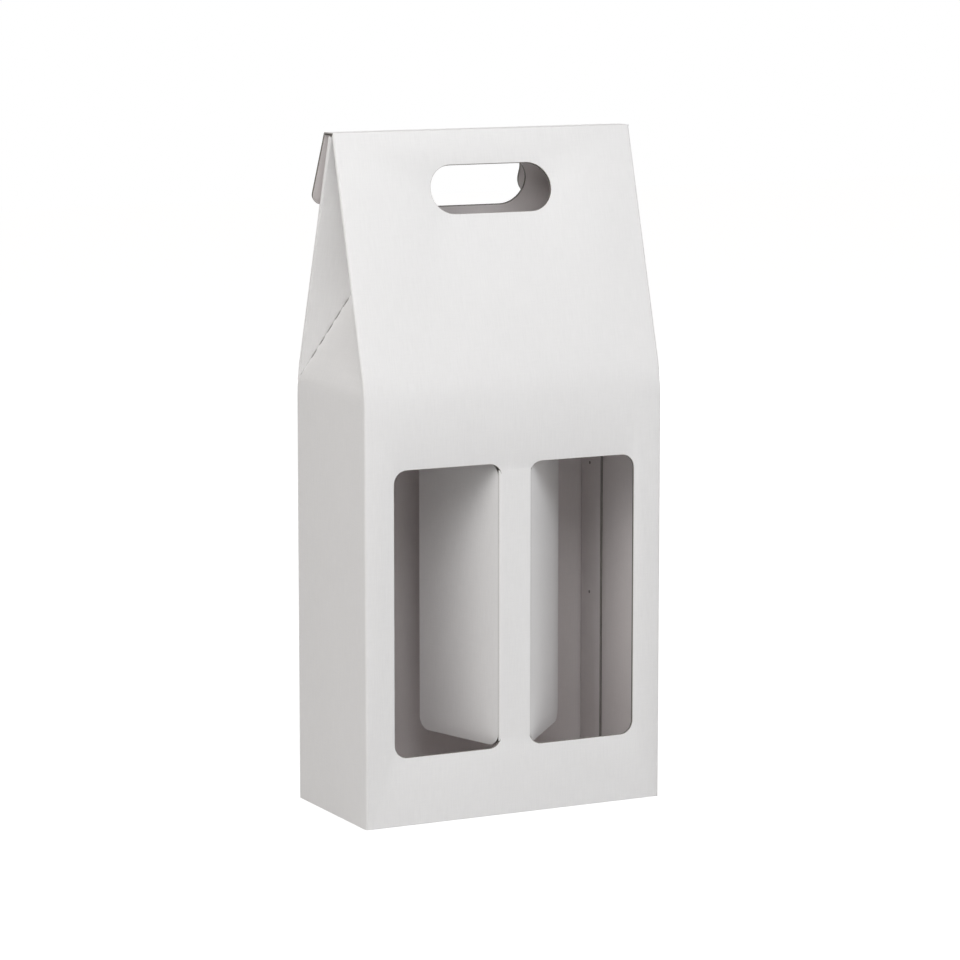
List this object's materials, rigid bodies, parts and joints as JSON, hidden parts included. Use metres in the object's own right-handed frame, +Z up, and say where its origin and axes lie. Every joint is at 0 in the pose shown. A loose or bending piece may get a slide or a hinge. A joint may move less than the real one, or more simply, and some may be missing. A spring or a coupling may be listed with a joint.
{
  "type": "two-bottle carrier box",
  "caption": "Gable-topped folded board carrier for bottles, with front windows, folded-in window flaps, side gussets and a hand slot under the ridge.",
  "frame": {"origin": "centre of the base, on the surface the box stands on", "axes": "+Z up, front wall with the windows towards -Y, +X to the right seen from the front"},
  "size_m": [0.18, 0.088, 0.372],
  "materials": {
    "board_white": "matt white board with a fine linen grain",
    "board_inside": "uncoated pale inner liner"
  },
  "bodies": {
    "carton": {"front_panel": "board_white", "back_panel": "board_white", "left_side": "board_white", "right_side": "board_white", "glue_flap": "board_inside", "bottom_front": "board_white", "bottom_back": "board_white", "bottom_left": "board_inside", "bottom_right": "board_inside", "bottom_tab_left": "board_white", "bottom_tab_right": "board_white"},
    "front_upper": {"front_upper": "board_white"},
    "back_upper": {"back_upper": "board_white"},
    "ridge_strip": {"ridge_strip": "board_white"},
    "lock_flap": {"lock_flap": "board_white"},
    "gusset_left_centre": {"gusset_left_centre": "board_white"},
    "gusset_left_front": {"gusset_left_front": "board_white"},
    "gusset_left_back": {"gusset_left_back": "board_white"},
    "gusset_right_centre": {"gusset_right_centre": "board_white"},
    "gusset_right_front": {"gusset_right_front": "board_white"},
    "gusset_right_back": {"gusset_right_back": "board_white"},
    "window_flap_left": {"window_flap_left": "board_white"},
    "window_flap_right": {"window_flap_right": "board_white"}
  },
  "joints": [
    {"name": "front_upper_fold", "type": "hinge", "parent": "carton", "child": "front_upper", "pos_m": [0, -0.044, 0.2355], "axis": [1, 0, 0], "range_deg": [0, 15.63]},
    {"name": "back_upper_fold", "type": "hinge", "parent": "carton", "child": "back_upper", "pos_m": [0, 0.044, 0.2355], "axis": [-1, 0, 0], "range_deg": [0, 17.63]},
    {"name": "ridge_strip_fold", "type": "hinge", "parent": "front_upper", "child": "ridge_strip", "pos_m": [0, -0.0058, 0.372], "axis": [1, 0, 0], "range_deg": [0, 218.9]},
    {"name": "lock_flap_fold", "type": "hinge", "parent": "ridge_strip", "child": "lock_flap", "pos_m": [0, 0.0058, 0.372], "axis": [1, 0, 0], "range_deg": [-8, 95]},
    {"name": "gusset_left_centre_fold", "type": "hinge", "parent": "carton", "child": "gusset_left_centre", "pos_m": [-0.09, 0, 0.2355], "axis": [0, -1, 0], "range_deg": [0, 9.38]},
    {"name": "gusset_left_front_fold", "type": "hinge", "parent": "front_upper", "child": "gusset_left_front", "pos_m": [-0.0885, -0.04251, 0.23508], "axis": [0, 0.2695, 0.963], "range_deg": [0, 34.39]},
    {"name": "gusset_left_back_fold", "type": "hinge", "parent": "back_upper", "child": "gusset_left_back", "pos_m": [-0.0885, 0.04252, 0.23503], "axis": [0, 0.3028, -0.953], "range_deg": [0, 34.39]},
    {"name": "gusset_right_centre_fold", "type": "hinge", "parent": "carton", "child": "gusset_right_centre", "pos_m": [0.09, 0, 0.2355], "axis": [0, 1, 0], "range_deg": [0, 9.38]},
    {"name": "gusset_right_front_fold", "type": "hinge", "parent": "front_upper", "child": "gusset_right_front", "pos_m": [0.0885, -0.04251, 0.23508], "axis": [0, -0.2695, -0.963], "range_deg": [0, 34.39]},
    {"name": "gusset_right_back_fold", "type": "hinge", "parent": "back_upper", "child": "gusset_right_back", "pos_m": [0.0885, 0.04252, 0.23503], "axis": [0, -0.3028, 0.953], "range_deg": [0, 34.39]},
    {"name": "window_flap_left_fold", "type": "hinge", "parent": "carton", "child": "window_flap_left", "pos_m": [-0.0085, -0.0425, 0.11585], "axis": [0, 0, -1], "range_deg": [-74, 20]},
    {"name": "window_flap_right_fold", "type": "hinge", "parent": "carton", "child": "window_flap_right", "pos_m": [0.0085, -0.0425, 0.11585], "axis": [0, 0, 1], "range_deg": [-48.5, 45]}
  ],
  "couplings": [
    {"joint": "back_upper_fold", "follows": "front_upper_fold", "ratio": 1.1274},
    {"joint": "ridge_strip_fold", "follows": "front_upper_fold", "ratio": 14},
    {"joint": "gusset_left_centre_fold", "follows": "front_upper_fold", "ratio": 0.6},
    {"joint": "gusset_left_front_fold", "follows": "front_upper_fold", "ratio": 2.2},
    {"joint": "gusset_left_back_fold", "follows": "front_upper_fold", "ratio": 2.2},
    {"joint": "gusset_right_centre_fold", "follows": "front_upper_fold", "ratio": 0.6},
    {"joint": "gusset_right_front_fold", "follows": "front_upper_fold", "ratio": 2.2},
    {"joint": "gusset_right_back_fold", "follows": "front_upper_fold", "ratio": 2.2}
  ]
}
